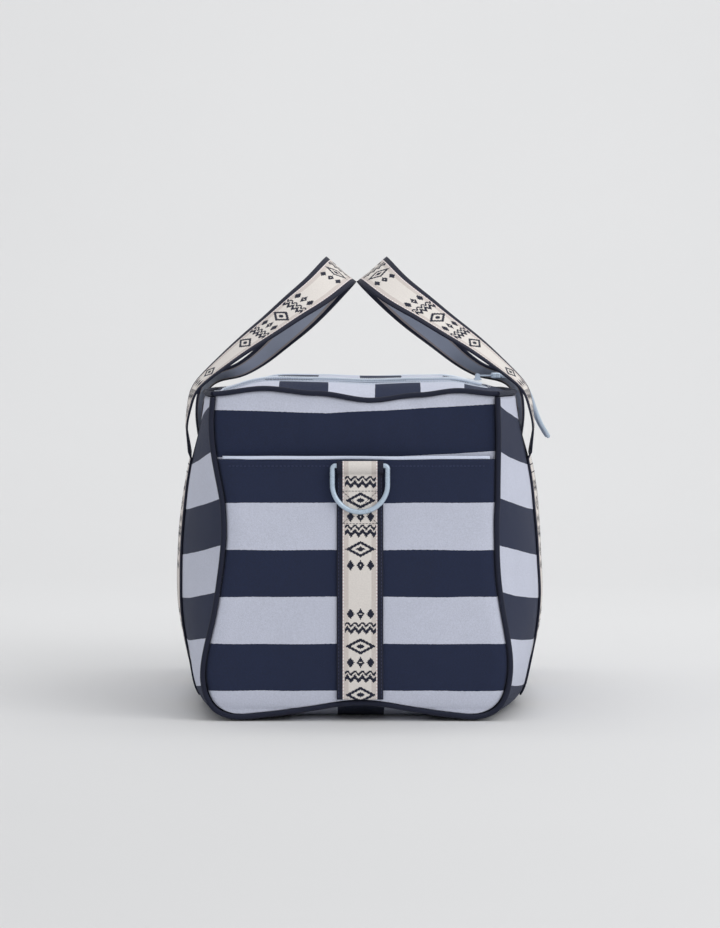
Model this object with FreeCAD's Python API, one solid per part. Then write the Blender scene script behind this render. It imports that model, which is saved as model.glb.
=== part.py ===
import FreeCAD, Part
import math
import os

from FreeCAD import Vector

# Weekender bag. Millimetres. X is across the bag, Y along it, Z up; the origin is on the
# floor under the middle. "near" is the -Y end, "far" the +Y end, "front" the +X side with
# the zip's long run, "back" the -X side where the lid is sewn on.

# Driving dimensions of the body
HALF_LENGTH = 255.0
BODY_HEIGHT = 300.0
BULGE_POWER = 2.7
LIFT_LENGTH = 55.0
BASE_HALF = 107.0
BASE_BULGE = 23.0
TOP_HALF = 132.0
TOP_BULGE = 20.5

# One side wall from the base edge up to the top edge: height, half width at the end
# seams, how much further out it stands at mid-length, and how far the end seam lifts it.
SIDE_PROFILE = (
    (0.0, BASE_HALF, BASE_BULGE, 3.2),
    (0.9, 114.5, 24.0, 2.8),
    (3.2, 121.5, 24.5, 2.2),
    (10.0, 131.0, 25.0, 0.6),
    (34.0, 142.0, 23.2, 0.0),
    (90.0, 136.3, 41.4, 0.0),
    (140.0, 128.8, 49.9, 0.0),
    (190.0, 127.0, 48.4, 0.0),
    (240.0, 131.4, 34.5, 0.0),
    (275.0, 133.2, 23.3, 0.0),
    (BODY_HEIGHT, TOP_HALF, TOP_BULGE, 0.0),
)
BOTTOM_SEAM = ((0.0, 17.0), (40.0, 12.0), (65.0, 8.0))
TOP_SEAM = ((-132.0, 300.0), (-85.0, 305.0), (-40.0, 300.5), (10.0, 294.0), (55.0, 299.0),
            (95.0, 303.0), (132.0, 300.0))

# Cloth, lining and board
CLOTH = 2.0
LINING = 0.8
GAP = 0.4
LINING_INSET = CLOTH + GAP
BOARD_LENGTH = 430.0
BOARD_WIDTH = 206.0
BOARD_THICKNESS = 2.4
BOARD_FLOOR = 3.8

# Piping
PIPING_RADIUS = 2.5
PIPING_END_Y = 258.0
PIPING_END_INSET = 0.4
PIPING_TOP_Y = 255.6
PIPING_TOP_RISE = 3.2
PIPING_TOP_INSET = 0.5

# Top: rim, lid and zip
RIM_HEIGHT = 302.0
CROWN = 13.0
CROWN_POWER_X = 5
CROWN_POWER_Y = 8
RIM_INSET = 3.4
RIM_END_Y = 252.4
ZIP_X = 114.0
ZIP_Y = 213.0
ZIP_CORNER = 48.0
ZIP_GAP = 0.3
TEETH_WIDTH = 2.4
TAPE_WIDTH = 5.2
TEETH_RISE = 1.5
TEETH_DEPTH = 1.0
TAPE_SINK = 0.6
TAPE_THICKNESS = 1.0
HINGE_X = -128.0
HINGE_GAP = 2.4
STOP_LENGTH = 5.0
STOP_WIDTH = 11.0
STOP_THICKNESS = 1.4

# End panels and pockets
END_INSET = 3.2
POCKET_TOP = 243.0
POCKET_GAP = 4.9
POCKET_CLOTH = 1.2
POCKET_SEAM = 3.0
TRIM_HEIGHT = 4.0

# Webbing, D-rings and handles
WEB_WIDTH = 45.0
WEB_THICKNESS = 1.8
WEB_BOTTOM = 22.0
WEB_TOP = 241.6
RING_WIRE = 4.6
RING_HALF_WIDTH = 25.5
RING_BAR_Z = 237.0
RING_CORNER = 3.0
RING_ARC_Z = 219.8
RING_BORE_GAP = 0.35
RING_STANDOFF = 0.35
FOLD_WALL = 1.4
STRAP_Y = 110.0
STRAP_STANDOFF = 0.5
STRAP_LOW = 12.0
STRAP_HIGH = 239.0
HANDLE_FOOT = 243.0
FOOT_CLEARANCE = 1.8
HANDLE_POWER = 0.8
HANDLE_STATIONS = 36
HANDLE_EASE = 0.85
# Each half of one handle seen from the end, from its foot to the middle of the grip: x and
# z. The near half stands clear of the bag's top edge; the far half leans in over the lid.
RISE_NEAR = ((166.8, 256.0), (167.6, 271.0), (164.0, 288.0), (157.8, 304.5), (144.0, 319.5),
             (126.5, 334.5), (107.5, 350.5), (86.0, 367.5), (63.5, 386.0), (40.5, 404.0),
             (20.0, 424.0))
RISE_FAR = ((166.4, 258.0), (166.6, 274.0), (164.0, 290.0), (159.2, 303.0), (151.0, 314.0),
            (137.5, 322.0), (123.5, 328.5), (110.5, 335.5), (98.0, 344.5), (81.0, 358.5),
            (59.0, 379.0), (38.5, 402.0), (20.0, 424.0))

# Zip sliders, their tabs and the cord loops on them
SLIDER_Y = 14.0
SLIDER_LENGTH = 12.0
SLIDER_WIDTH = 6.6
SLIDER_THICKNESS = 1.6
SLIDER_STANDOFF = 2.4
PIN_RADIUS = 0.9
PIN_RISE = 2.9
EAR_THICKNESS = 1.2
EAR_OFFSET = 3.6
TAB_BARREL = 2.0
TAB_BORE = 1.15
TAB_BARREL_LENGTH = 5.2
TAB_LENGTH = 14.0
TAB_THICKNESS = 1.4
FERRULE = (8.0, 14.0, 5.4)
CORD_DIAMETER = 4.2
CORD_HALF_SPREAD = 4.4
CORD_GAP = 0.35
# The cord loop from its ferrule over the bag's edge: x and z of each point of its route.
CORD_DROP = ((153.0, 317.5), (163.0, 311.0), (170.0, 299.0), (174.5, 285.0),
             (180.0, 271.0), (188.0, 258.0))

HALF_STATIONS = (0.2, 0.4, 0.6, 0.74, 0.82, 0.88, 0.93, 0.97, 1.0)
STATIONS = tuple(-s for s in HALF_STATIONS[::-1]) + (0.0,) + HALF_STATIONS


def spline(points):
    """A smooth edge through the points."""
    curve = Part.BSplineCurve()
    curve.interpolate(points)
    return curve.toShape()


def line(start, end):
    return Part.LineSegment(start, end).toShape()


def bulge(y):
    """How much of the mid-length bulge is there at y."""
    return 1.0 - abs(y / HALF_LENGTH) ** BULGE_POWER


def end_lift(y):
    """0 along the middle, rising smoothly to 1 at the end seams."""
    reach = max(0.0, (abs(y) - HALF_LENGTH + LIFT_LENGTH) / LIFT_LENGTH)
    return min(1.0, reach * reach * (3.0 - 2.0 * reach))


def side_points(y):
    """The points of the front wall's outer profile at y, from the base edge up."""
    return [Vector(end + extra * bulge(y), y, z + lift * end_lift(y))
            for z, end, extra, lift in SIDE_PROFILE]


def offset_samples(points, inset, count):
    """Points along the spline through the given ones, moved to the left of its run by inset."""
    curve = Part.BSplineCurve()
    curve.interpolate(points)
    first, last = curve.FirstParameter, curve.LastParameter
    moved = []
    for step in range(count + 1):
        at = first + (last - first) * step / count
        along = curve.tangent(at)[0]
        moved.append(curve.value(at) + Vector(-along.z, 0.0, along.x) * inset)
    return moved


def wall(y, inset, low, high, count=16):
    """Evenly spaced points up the front wall at y between two heights, moved inwards by inset."""
    outer = offset_samples(side_points(y), 0.0, 200)
    dense = offset_samples(side_points(y), inset, 200)
    inside = [i for i, p in enumerate(outer) if low <= p.z <= high]
    start, end = inside[0], inside[-1]
    picked = []
    for step in range(count + 1):
        at = start + (end - start) * step / count
        below = min(int(at), len(dense) - 2)
        picked.append(dense[below] + (dense[below + 1] - dense[below]) * (at - below))
    return picked


def strip_wire(outer, inner):
    """The closed outline of a thin strip between two rows of points."""
    return Part.Wire([
        spline(outer),
        line(outer[-1], inner[-1]),
        spline(inner[::-1]),
        line(inner[0], outer[0]),
    ])


def wall_sheet(near_inset, far_inset, half_length, low=-10.0, high=400.0):
    """A sheet that follows the front wall, from one inset to another."""
    wires = []
    for station in STATIONS:
        y = station * half_length
        wires.append(strip_wire(wall(y, near_inset, low, high), wall(y, far_inset, low, high)))
    return Part.makeLoft(wires, True, False)


def mirror_x(shape):
    return shape.mirror(Vector(0, 0, 0), Vector(1, 0, 0))


def mirror_y(shape):
    return shape.mirror(Vector(0, 0, 0), Vector(0, 1, 0))


def seam_height(x):
    """Height of the wavy top seam of an end panel at x."""
    for (x0, z0), (x1, z1) in zip(TOP_SEAM, TOP_SEAM[1:]):
        if x <= x1:
            t = min(1.0, max(0.0, (x - x0) / (x1 - x0)))
            return z0 + (z1 - z0) * t * t * (3.0 - 2.0 * t)
    return TOP_SEAM[-1][1]


# Body panels

def base_lift(x, y):
    """How far the base stands off the floor: only near the ends, most in the middle."""
    shape = max(0.0, 1.0 - abs(x) / BASE_HALF)
    return (3.2 + 13.8 * shape ** 1.2) * end_lift(y)


def base_edge(y):
    return BASE_HALF + BASE_BULGE * bulge(y) - GAP


def base_sheet(low, high, narrower, half_length):
    """The base as a flat sheet with both ends curving up to the end seams."""
    flat = HALF_LENGTH - LIFT_LENGTH
    steps = [flat * (-1.0 + step / 6.0) for step in range(13)]
    right = [Vector(base_edge(y) - narrower, y, low) for y in steps]
    left = [Vector(-p.x, p.y, p.z) for p in right]
    outline = Part.Wire([spline(right), line(right[-1], left[-1]), spline(left[::-1]),
                         line(left[0], right[0])])
    sheet = Part.Face(outline).extrude(Vector(0, 0, high - low))
    wires = []
    for step in range(7):
        y = -flat - (half_length - flat) * step / 6.0
        edge = base_edge(y) - narrower
        across = [edge * (-1.0 + step / 8.0) for step in range(17)]
        bottom = [Vector(x, y, low + base_lift(x, y)) for x in across]
        top = [Vector(x, y, high + base_lift(x, y)) for x in across]
        wires.append(strip_wire(bottom, top))
    lip = Part.makeLoft(wires, True, False)
    return sheet.fuse([lip, mirror_y(lip)])


def end_curve(inset):
    """The end panel's outline from the top left corner down, round the base and up again."""
    right = side_points(-HALF_LENGTH)
    bottom = [Vector(x, -HALF_LENGTH, z) for x, z in BOTTOM_SEAM]
    left = [Vector(-p.x, p.y, p.z) for p in right[::-1] + bottom[:0:-1]]
    return offset_samples(left + bottom + right, inset, 72)


def end_prism(inset, y0, y1, top, drop=0.0):
    """A slab with the end panel's outline between two planes, up to a height or the top seam."""
    points = [Vector(p.x, y0, p.z) for p in end_curve(inset)]
    above = BODY_HEIGHT + 40.0
    first, last = points[0], points[-1]
    corners = [Vector(last.x, y0, above), Vector(first.x, y0, above)]
    outline = Part.Wire([spline(points), line(last, corners[0]), line(*corners),
                         line(corners[1], first)])
    slab = Part.Face(outline).extrude(Vector(0, y1 - y0, 0))
    if top is None:
        crest = [Vector(150.0 * (-1.0 + step / 20.0), y0 - 1.0, 0.0) for step in range(41)]
        crest = [Vector(p.x, p.y, seam_height(p.x) - drop) for p in crest]
    else:
        crest = [Vector(-160.0, y0 - 1.0, top), Vector(160.0, y0 - 1.0, top)]
    lid = [Vector(crest[-1].x, y0 - 1.0, 400.0), Vector(crest[0].x, y0 - 1.0, 400.0)]
    rim = spline(crest) if top is None else line(*crest)
    cutter = Part.Face(Part.Wire([rim, line(crest[-1], lid[0]), line(*lid),
                                  line(lid[1], crest[0])]))
    return slab.cut(cutter.extrude(Vector(0, y1 - y0 + 2.0, 0)))


def body_panels():
    front = wall_sheet(0.0, CLOTH, HALF_LENGTH - 0.1)
    end = end_prism(END_INSET, -HALF_LENGTH, -HALF_LENGTH + CLOTH, None, 2.2)
    return {
        "base_panel": base_sheet(0.0, CLOTH, 0.0, HALF_LENGTH - 0.1),
        "front_panel": front,
        "back_panel": mirror_x(front),
        "end_panel_near": end,
        "end_panel_far": mirror_y(end),
    }


def lining_panels():
    half_length = HALF_LENGTH - CLOTH - 2.0 * GAP - LINING
    front = wall_sheet(LINING_INSET, LINING_INSET + LINING, half_length, 6.0, 296.0)
    start = -HALF_LENGTH + CLOTH + GAP
    end = end_prism(END_INSET + 3.0, start, start + LINING, None, 8.0)
    board = Part.makeBox(BOARD_WIDTH, BOARD_LENGTH * 0.9, BOARD_THICKNESS,
                         Vector(-BOARD_WIDTH / 2, -BOARD_LENGTH * 0.45, BOARD_FLOOR))
    board = board.makeFillet(18.0, [e for e in board.Edges if e.Length < BOARD_THICKNESS + 0.1])
    return {
        "lining_base": base_sheet(CLOTH + GAP, CLOTH + GAP + LINING, 4.0, half_length),
        "lining_front": front,
        "lining_back": mirror_x(front),
        "lining_end_near": end,
        "lining_end_far": mirror_y(end),
        "base_board": board,
    }


# Top: rim, lid and zip

def top_half_width(y):
    return TOP_HALF + TOP_BULGE * bulge(y) - RIM_INSET


def top_height(x, y):
    """Height of the top cloth: the seam at the ends, a low crown over the middle."""
    near_end = abs(y / HALF_LENGTH) ** CROWN_POWER_Y
    crown = CROWN * (1.0 - abs(x / top_half_width(y)) ** CROWN_POWER_X)
    return RIM_HEIGHT + (seam_height(x) - RIM_HEIGHT + 1.0) * near_end + crown * (1.0 - near_end)


def top_sheet(high, low):
    """The whole top as one sheet between two distances above the top cloth's outer face."""
    wires = []
    for station in STATIONS:
        y = station * RIM_END_Y
        half = top_half_width(y)
        across = [half * (-1.0 + step / 12.0) for step in range(25)]
        top = [Vector(x, y, top_height(x, y) + high) for x in across]
        bottom = [Vector(p.x, y, p.z - high + low) for p in top]
        wires.append(strip_wire(bottom, top))
    return Part.makeLoft(wires, True, False)


def zip_region(out, left):
    """A prism inside the U of the zip, out further than its centre line, from x = left."""
    right, half, radius = ZIP_X + out, ZIP_Y + out, ZIP_CORNER + out
    z = 250.0
    middle = radius * math.sqrt(0.5)
    far_mid = Vector(right - radius + middle, half - radius + middle, z)
    near_mid = Vector(right - radius + middle, -half + radius - middle, z)
    near_start, near_end = Vector(right - radius, -half, z), Vector(right, -half + radius, z)
    far_start, far_end = Vector(right, half - radius, z), Vector(right - radius, half, z)
    left_near, left_far = Vector(left, -half, z), Vector(left, half, z)
    outline = Part.Wire([
        line(left_near, near_start),
        Part.Arc(near_start, near_mid, near_end).toShape(),
        line(near_end, far_start),
        Part.Arc(far_start, far_mid, far_end).toShape(),
        line(far_end, left_far),
        line(left_far, left_near),
    ])
    return Part.Face(outline).extrude(Vector(0, 0, 120.0))


def slab_y(y0, y1):
    return Part.makeBox(400.0, y1 - y0, 200.0, Vector(-200.0, y0, 250.0))


def top_parts():
    lid_left = HINGE_X + HINGE_GAP
    rim_left = HINGE_X - HINGE_GAP - 1.6
    inner = ZIP_GAP + TEETH_WIDTH
    outer = inner + ZIP_GAP + TAPE_WIDTH
    cloth = top_sheet(0.0, -CLOTH)
    teeth = top_sheet(TEETH_RISE, -TEETH_DEPTH)
    tape = top_sheet(-TAPE_SINK, -TAPE_SINK - TAPE_THICKNESS)

    rim = cloth.cut(zip_region(outer + ZIP_GAP, rim_left))
    lid = cloth.common(zip_region(-outer - ZIP_GAP, lid_left))
    lid_lining = top_sheet(-LINING_INSET, -LINING_INSET - LINING)
    lid_lining = lid_lining.common(zip_region(-outer - ZIP_GAP, lid_left))
    body_teeth = teeth.common(zip_region(inner, lid_left)).cut(zip_region(ZIP_GAP, lid_left - 1))
    lid_teeth = teeth.common(zip_region(-ZIP_GAP, lid_left)).cut(zip_region(-inner, lid_left - 1))
    body_tape = tape.common(zip_region(outer, lid_left)).cut(
        zip_region(inner + ZIP_GAP, lid_left - 1))
    lid_tape = tape.common(zip_region(-inner - ZIP_GAP, lid_left)).cut(
        zip_region(-outer, lid_left - 1))

    back = Part.makeBox(200.0 + rim_left, 2 * ZIP_Y, 200.0, Vector(-200.0, -ZIP_Y, 250.0))
    front = Part.makeBox(200.0, 2 * ZIP_Y, 200.0, Vector(0.0, -ZIP_Y, 250.0))
    parts = {
        "top_rim_near": rim.common(slab_y(-260.0, -ZIP_Y)),
        "top_rim_far": rim.common(slab_y(ZIP_Y, 260.0)),
        "top_rim_front": rim.common(front),
        "top_rim_back": rim.common(back),
        "zip_tape_body": body_tape,
        "zip_teeth_body": body_teeth,
        "lid_panel": lid,
        "lid_lining": lid_lining,
        "zip_tape_lid": lid_tape,
        "zip_teeth_lid": lid_teeth,
    }
    return parts


def zip_stops():
    """A small tab over each end of the zip, on the back side of the body."""
    tabs = []
    x = HINGE_X - HINGE_GAP - 1.0 - STOP_LENGTH
    for side in (-1, 1):
        z = top_height(x + STOP_LENGTH, ZIP_Y - STOP_WIDTH / 2) + GAP
        tabs.append(Part.makeBox(STOP_LENGTH, STOP_WIDTH, STOP_THICKNESS,
                                 Vector(x, side * ZIP_Y - STOP_WIDTH / 2, z)))
    return Part.makeCompound(tabs)


# Piping

def tube(points, radius):
    """A round tube along the smooth curve through the points."""
    path = Part.Wire([spline(points)])
    heading = path.Edges[0].tangentAt(path.Edges[0].FirstParameter)
    ring = Part.Wire([Part.Circle(points[0], heading, radius).toShape()])
    return path.makePipeShell([ring], True, False)


def piping():
    side = []
    for step in range(25):
        y = PIPING_TOP_Y * (-1.0 + step / 12.0)
        reach = max(-HALF_LENGTH, min(HALF_LENGTH, y))
        side.append(Vector(TOP_HALF - PIPING_TOP_INSET + TOP_BULGE * bulge(reach), y, BODY_HEIGHT + PIPING_TOP_RISE))
    corner = side[0]
    end_x = corner.x - PIPING_RADIUS - GAP
    across = [end_x * (-1.0 + step / 14.0) for step in range(29)]
    near = [Vector(x, corner.y, seam_height(x) + PIPING_TOP_RISE) for x in across]
    front, end = tube(side, PIPING_RADIUS), tube(near, PIPING_RADIUS)
    curve = [Vector(p.x, -PIPING_END_Y, p.z) for p in end_curve(PIPING_END_INSET)]
    end_piping = tube(curve, PIPING_RADIUS)
    return {
        "piping_top": Part.makeCompound([front, mirror_x(front), end, mirror_y(end)]),
        "piping_end_near": end_piping,
        "piping_end_far": mirror_y(end_piping),
    }


# Pockets, webbing and D-rings on the ends

def end_pocket():
    inner_y = -HALF_LENGTH - GAP
    gap_y = -HALF_LENGTH - POCKET_GAP
    outer_y = gap_y - POCKET_CLOTH
    block = end_prism(END_INSET, outer_y, inner_y, POCKET_TOP)
    hollow = end_prism(END_INSET + POCKET_SEAM, gap_y, inner_y + 1.0, POCKET_TOP + 5.0)
    trim = end_prism(END_INSET, outer_y - 0.2, gap_y - 0.2, POCKET_TOP + GAP + TRIM_HEIGHT)
    trim = trim.cut(Part.makeBox(400, 400, POCKET_TOP + GAP, Vector(-200, -400, 0)))
    return block.cut(hollow), trim


def end_webbing():
    """The vertical webbing on a pocket, with the fold round the D-ring's bar."""
    back_y = -HALF_LENGTH - POCKET_GAP - POCKET_CLOTH - GAP
    front_y = back_y - WEB_THICKNESS
    strip = Part.makeBox(WEB_WIDTH, WEB_THICKNESS, WEB_TOP - WEB_BOTTOM,
                         Vector(-WEB_WIDTH / 2, front_y, WEB_BOTTOM))
    bar = Vector(-WEB_WIDTH / 2, ring_y(), RING_BAR_Z)
    bore = RING_WIRE / 2 + RING_BORE_GAP
    fold = Part.makeCylinder(bore + FOLD_WALL, WEB_WIDTH, bar, Vector(1, 0, 0))
    filler = Part.makeBox(WEB_WIDTH, back_y - ring_y(), 2 * (bore + FOLD_WALL),
                          Vector(-WEB_WIDTH / 2, ring_y(), RING_BAR_Z - bore - FOLD_WALL))
    hole = Part.makeCylinder(bore, WEB_WIDTH + 2, bar - Vector(1, 0, 0), Vector(1, 0, 0))
    return strip.fuse([fold, filler]).removeSplitter().cut(hole)


def ring_y():
    """The plane of the near D-ring."""
    front_of_webbing = HALF_LENGTH + POCKET_GAP + POCKET_CLOTH + GAP + WEB_THICKNESS
    return -front_of_webbing - RING_STANDOFF - RING_WIRE / 2


def d_ring():
    y, wire, half = ring_y(), RING_WIRE / 2, RING_HALF_WIDTH
    top = RING_BAR_Z - RING_CORNER
    bow = Part.makeTorus(half, wire, Vector(0, y, RING_ARC_Z), Vector(0, 1, 0))
    lower = Part.makeBox(200, 200, 100, Vector(-100, y - 100, RING_ARC_Z - 100))
    pieces = [Part.makeCylinder(wire, 2 * (half - RING_CORNER),
                                Vector(-half + RING_CORNER, y, RING_BAR_Z), Vector(1, 0, 0))]
    for side in (-1, 1):
        pieces.append(Part.makeCylinder(wire, top - RING_ARC_Z,
                                        Vector(side * half, y, RING_ARC_Z)))
        centre = Vector(side * (half - RING_CORNER), y, top)
        bend = Part.makeTorus(RING_CORNER, wire, centre, Vector(0, 1, 0))
        quarter = Part.makeBox(20, 20, 20, centre + Vector(0 if side > 0 else -20, -10, 0))
        pieces.append(bend.common(quarter))
    return bow.common(lower).fuse(pieces)


def side_strap():
    """The sewn part of a handle's webbing, down the front panel at the near end."""
    wires = []
    for step in range(5):
        y = -STRAP_Y + WEB_WIDTH * (-0.5 + step / 4.0)
        inner = wall(y, -STRAP_STANDOFF, STRAP_LOW, STRAP_HIGH)
        outer = wall(y, -STRAP_STANDOFF - WEB_THICKNESS, STRAP_LOW, STRAP_HIGH)
        wires.append(strip_wire(outer, inner))
    return Part.makeLoft(wires, True, False)


# Handles

def handle_foot():
    """Where a handle leaves its panel, in the middle of the webbing's thickness."""
    face = wall(-STRAP_Y, -STRAP_STANDOFF - WEB_THICKNESS / 2, HANDLE_FOOT - 20, HANDLE_FOOT)
    return Vector(face[-1].x + FOOT_CLEARANCE, 0.0, HANDLE_FOOT)


def handle_rise(foot, rise):
    """The curve through the foot and one half of the handle's outline."""
    curve = Part.BSplineCurve()
    curve.interpolate([foot] + [Vector(x, 0, z) for x, z in rise])
    return curve


def handle_frame(turn, near, far):
    """Centre, heading, width direction of the front handle's webbing at turn, 0 to pi."""
    def centre(angle):
        sine, cosine = math.sin(angle), math.cos(angle)
        height = max(0.0, sine) ** HANDLE_POWER
        reach = math.copysign(abs(cosine) ** HANDLE_POWER, cosine)
        rise = near if cosine > 0 else far
        at = rise.FirstParameter + (rise.LastParameter - rise.FirstParameter) * height
        point = rise.value(at)
        return Vector(point.x, -STRAP_Y * reach, point.z), rise.tangent(at)[0]

    middle, climb = centre(turn)
    step = 0.004
    heading = centre(min(math.pi, turn + step))[0] - centre(max(0.0, turn - step))[0]
    heading.normalize()
    outward = Vector(climb.z, 0, -climb.x)
    outward = outward - heading * outward.dot(heading)
    outward.normalize()
    across = heading.cross(outward)
    twist = min(turn, math.pi - turn)
    return middle, heading, across * math.cos(twist) + outward * math.sin(twist)


def handle_loop():
    """The front handle: one length of webbing in a twisting arch over the lid."""
    foot = handle_foot()
    near, far = handle_rise(foot, RISE_NEAR), handle_rise(foot, RISE_FAR)
    wires = []
    for step in range(HANDLE_STATIONS + 1):
        share = step / HANDLE_STATIONS
        turn = math.pi * share - HANDLE_EASE * math.sin(2 * math.pi * share) / 2
        middle, heading, wide = handle_frame(turn, near, far)
        thick = heading.cross(wide)
        a, b = wide * (WEB_WIDTH / 2), thick * (WEB_THICKNESS / 2)
        corners = [middle - a - b, middle + a - b, middle + a + b, middle - a + b]
        wires.append(Part.makePolygon(corners + corners[:1]))
    return Part.makeLoft(wires, True, False)


# Zip sliders and pulls

def pin_centre():
    x = ZIP_X + ZIP_GAP + 0.3 + SLIDER_WIDTH / 2
    z = top_height(ZIP_X, 0.0) + SLIDER_STANDOFF + SLIDER_THICKNESS + PIN_RISE
    return Vector(x, -SLIDER_Y, z)


def zip_slider():
    pin = pin_centre()
    low = pin.z - PIN_RISE - SLIDER_THICKNESS
    body = Part.makeBox(SLIDER_WIDTH, SLIDER_LENGTH, SLIDER_THICKNESS,
                        Vector(pin.x - SLIDER_WIDTH / 2, pin.y - SLIDER_LENGTH / 2, low))
    body = body.makeFillet(1.2, [e for e in body.Edges if e.Length < SLIDER_THICKNESS + 0.1])
    pieces = []
    for side in (-1, 1):
        y = pin.y + side * EAR_OFFSET - EAR_THICKNESS / 2
        ear = Part.makeCylinder(1.9, EAR_THICKNESS, Vector(pin.x, y, pin.z), Vector(0, 1, 0))
        post = Part.makeBox(3.8, EAR_THICKNESS, PIN_RISE,
                            Vector(pin.x - 1.9, y, low + SLIDER_THICKNESS))
        pieces += [ear, post]
    pieces.append(Part.makeCylinder(PIN_RADIUS, 2 * EAR_OFFSET,
                                    Vector(pin.x, pin.y - EAR_OFFSET, pin.z), Vector(0, 1, 0)))
    return body.fuse(pieces)


def zip_tab():
    """The tab on a slider's pin, with the ferrule that grips the cord loop's two ends."""
    pin = pin_centre()
    barrel = Part.makeCylinder(TAB_BARREL, TAB_BARREL_LENGTH,
                               Vector(pin.x, pin.y - TAB_BARREL_LENGTH / 2, pin.z),
                               Vector(0, 1, 0))
    plate = Part.makeBox(TAB_LENGTH, TAB_BARREL_LENGTH, TAB_THICKNESS,
                         Vector(pin.x, pin.y - TAB_BARREL_LENGTH / 2, pin.z - TAB_THICKNESS / 2))
    long, wide, thick = FERRULE
    ferrule = Part.makeBox(long, wide, thick,
                           Vector(pin.x + TAB_LENGTH, pin.y - wide / 2, pin.z - thick / 2))
    ferrule = ferrule.makeFillet(1.2, ferrule.Edges)
    bore = Part.makeCylinder(TAB_BORE, 20, Vector(pin.x, pin.y - 10, pin.z), Vector(0, 1, 0))
    return barrel.fuse([plate, ferrule]).cut(bore)


def cord_route():
    """The points of one cord loop: out along one strand, round its end and back."""
    pin = pin_centre()
    start = (pin.x + TAB_LENGTH + FERRULE[0] + CORD_GAP, pin.z)
    out = [Vector(x, pin.y - CORD_HALF_SPREAD, z) for x, z in (start,) + CORD_DROP]
    back = [Vector(p.x, pin.y + CORD_HALF_SPREAD, p.z) for p in out[::-1]]
    return out + back


def cord(points):
    """A round cord: straight runs joined by tangent arcs as large as the runs allow."""
    radii, edges, last = [], [], points[0]
    for before, at, after in zip(points, points[1:], points[2:]):
        come, leave = at - before, after - at
        shorter = min(come.Length, leave.Length)
        half_turn = come.getAngle(leave) / 2
        setback = 0.45 * shorter
        radii.append(setback / math.tan(half_turn))
        come.normalize()
        leave.normalize()
        start, end = at - come * setback, at + leave * setback
        inward = leave - come
        inward.normalize()
        centre = at + inward * (radii[-1] / math.cos(half_turn))
        edges += [line(last, start), Part.Arc(start, centre - inward * radii[-1], end).toShape()]
        last = end
    edges.append(line(last, points[-1]))
    path = Part.Wire(edges)
    ring = Part.Wire([Part.Circle(points[0], points[1] - points[0], CORD_DIAMETER / 2).toShape()])
    solid = path.makePipeShell([ring], True, False)
    section = math.pi * CORD_DIAMETER ** 2 / 4
    print("cord length %.1f, volume %.0f of %.0f, radii %s" % (
        path.Length, solid.Volume, section * path.Length, [round(r, 1) for r in radii]))
    return solid


def build():
    parts = body_panels()
    parts.update(lining_panels())
    parts.update(top_parts())
    parts.update(piping())
    parts["zip_stops"] = zip_stops()
    pocket, trim = end_pocket()
    webbing, ring = end_webbing(), d_ring()
    slider, tab, pull = zip_slider(), zip_tab(), cord(cord_route())
    for name, shape in (("end_pocket", pocket), ("pocket_trim", trim), ("end_webbing", webbing),
                        ("d_ring", ring), ("zip_slider", slider), ("zip_tab", tab),
                        ("pull_cord", pull)):
        parts[name + "_near"] = shape
        parts[name + "_far"] = mirror_y(shape)
    strap, handle = side_strap(), handle_loop()
    for side, turn in (("front", lambda s: s), ("back", mirror_x)):
        parts["handle_" + side] = turn(handle)
        parts["side_strap_" + side + "_near"] = turn(strap)
        parts["side_strap_" + side + "_far"] = turn(mirror_y(strap))
    return parts


def main():
    os.makedirs("parts", exist_ok=True)
    for name, shape in build().items():
        box = shape.BoundBox
        print("%-24s %2d solid %s %9.0f mm3 x %.1f %.1f y %.1f %.1f z %.1f %.1f" % (
            name, len(shape.Solids), "ok " if shape.isValid() else "BAD", shape.Volume,
            box.XMin, box.XMax, box.YMin, box.YMax, box.ZMin, box.ZMax))
        shape.exportStep("parts/%s.step" % name)


main()
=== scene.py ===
import math

import bpy
import numpy as np
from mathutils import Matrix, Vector, noise


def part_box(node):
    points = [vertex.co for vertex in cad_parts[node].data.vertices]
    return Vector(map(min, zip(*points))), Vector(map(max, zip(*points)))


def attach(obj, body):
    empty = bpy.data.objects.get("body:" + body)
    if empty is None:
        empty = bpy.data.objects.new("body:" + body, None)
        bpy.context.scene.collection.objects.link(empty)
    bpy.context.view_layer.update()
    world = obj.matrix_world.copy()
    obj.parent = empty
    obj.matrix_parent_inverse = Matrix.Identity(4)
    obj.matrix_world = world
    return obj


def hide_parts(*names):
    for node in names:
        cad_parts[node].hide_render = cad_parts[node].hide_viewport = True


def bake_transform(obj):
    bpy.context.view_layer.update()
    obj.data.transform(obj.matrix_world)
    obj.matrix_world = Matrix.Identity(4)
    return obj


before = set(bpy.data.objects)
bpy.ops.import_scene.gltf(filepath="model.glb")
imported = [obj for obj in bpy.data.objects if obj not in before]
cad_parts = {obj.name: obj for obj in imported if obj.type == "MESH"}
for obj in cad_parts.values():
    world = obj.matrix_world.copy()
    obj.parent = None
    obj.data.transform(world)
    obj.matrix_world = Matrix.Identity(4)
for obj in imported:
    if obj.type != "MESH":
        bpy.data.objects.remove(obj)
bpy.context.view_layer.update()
MM = 0.001

# ---------------------------------------------------------------- sizes, in metres
HALF = 0.255                     # from the middle to each end seam
BULGE_POWER = 2.7
LIFT_LENGTH = 0.055
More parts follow.
